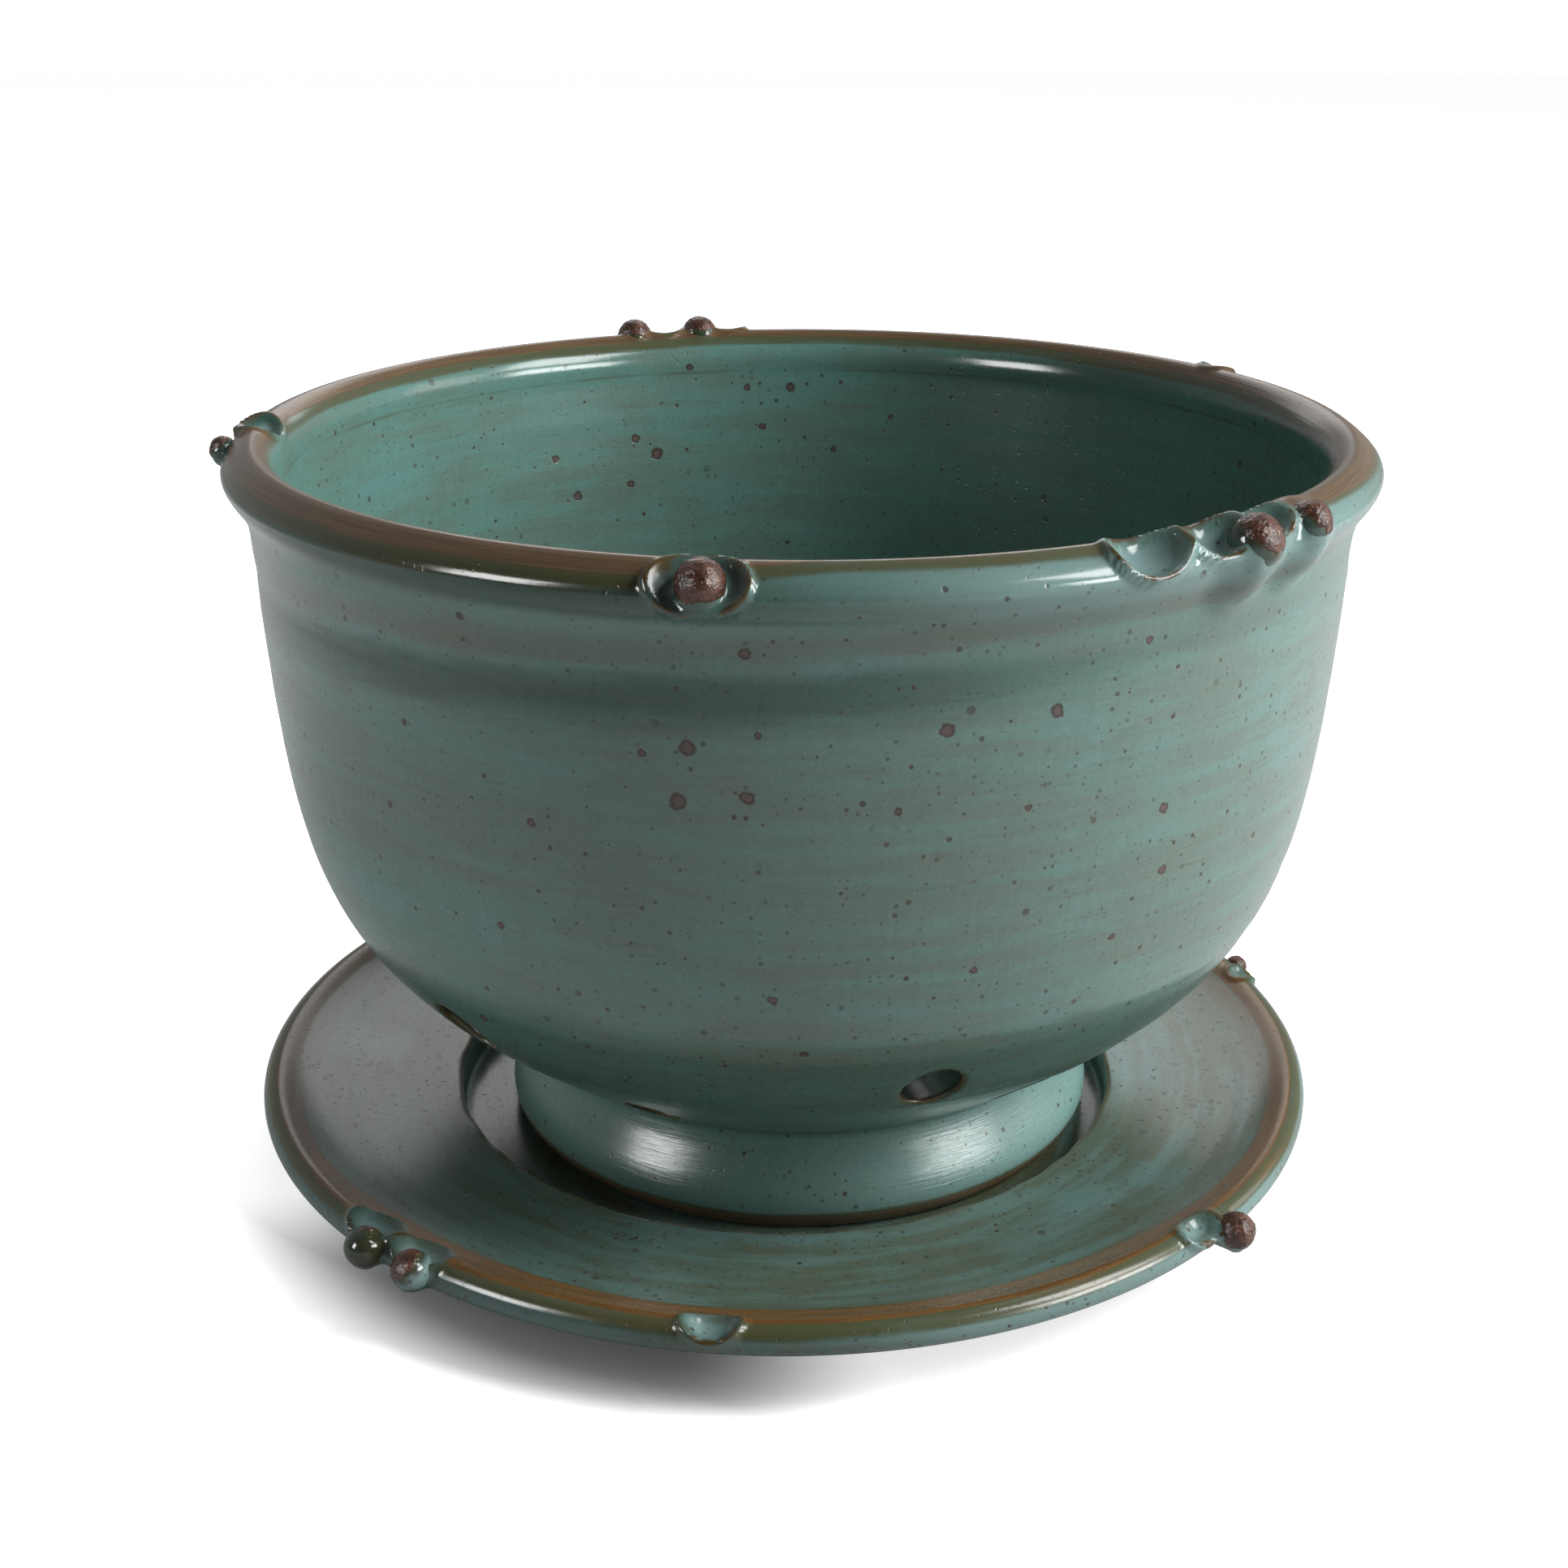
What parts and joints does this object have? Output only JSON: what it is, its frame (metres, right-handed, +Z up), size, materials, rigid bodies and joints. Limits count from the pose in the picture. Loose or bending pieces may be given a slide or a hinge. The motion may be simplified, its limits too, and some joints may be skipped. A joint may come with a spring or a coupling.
{
  "type": "berry colander bowl",
  "caption": "Thrown stoneware berry bowl with drain holes low in its wall and a flared foot, standing in the well of a matching saucer, with clay beads pressed into both rims.",
  "frame": {"origin": "centre of the saucer's flat base, on the surface that it stands on", "axes": "+Z up out of the bowl, -Y towards the front as pictured, +X to the right"},
  "size_m": [0.1669, 0.1672, 0.1154],
  "materials": {
    "bowl_glaze": "satin",
    "saucer_glaze": "satin",
    "bead_clay": "satin"
  },
  "bodies": {
    "saucer_body": {"saucer": "saucer_glaze", "saucer_bead_left": "bead_clay", "saucer_bead_front": "bead_clay", "saucer_bead_right": "bead_clay", "saucer_bead_back": "bead_clay"},
    "bowl_body": {"bowl": "bowl_glaze", "bowl_bead_front": "bead_clay", "bowl_bead_right_large": "bead_clay", "bowl_bead_right_small": "bead_clay", "bowl_bead_back_left": "bead_clay", "bowl_bead_back_right": "bead_clay", "bowl_bead_left": "bead_clay"}
  },
  "joints": [
    {"name": "bowl_lift", "type": "slide", "parent": "saucer_body", "child": "bowl_body", "axis": [0, 0, 1], "range_m": [0, 0.12]}
  ]
}
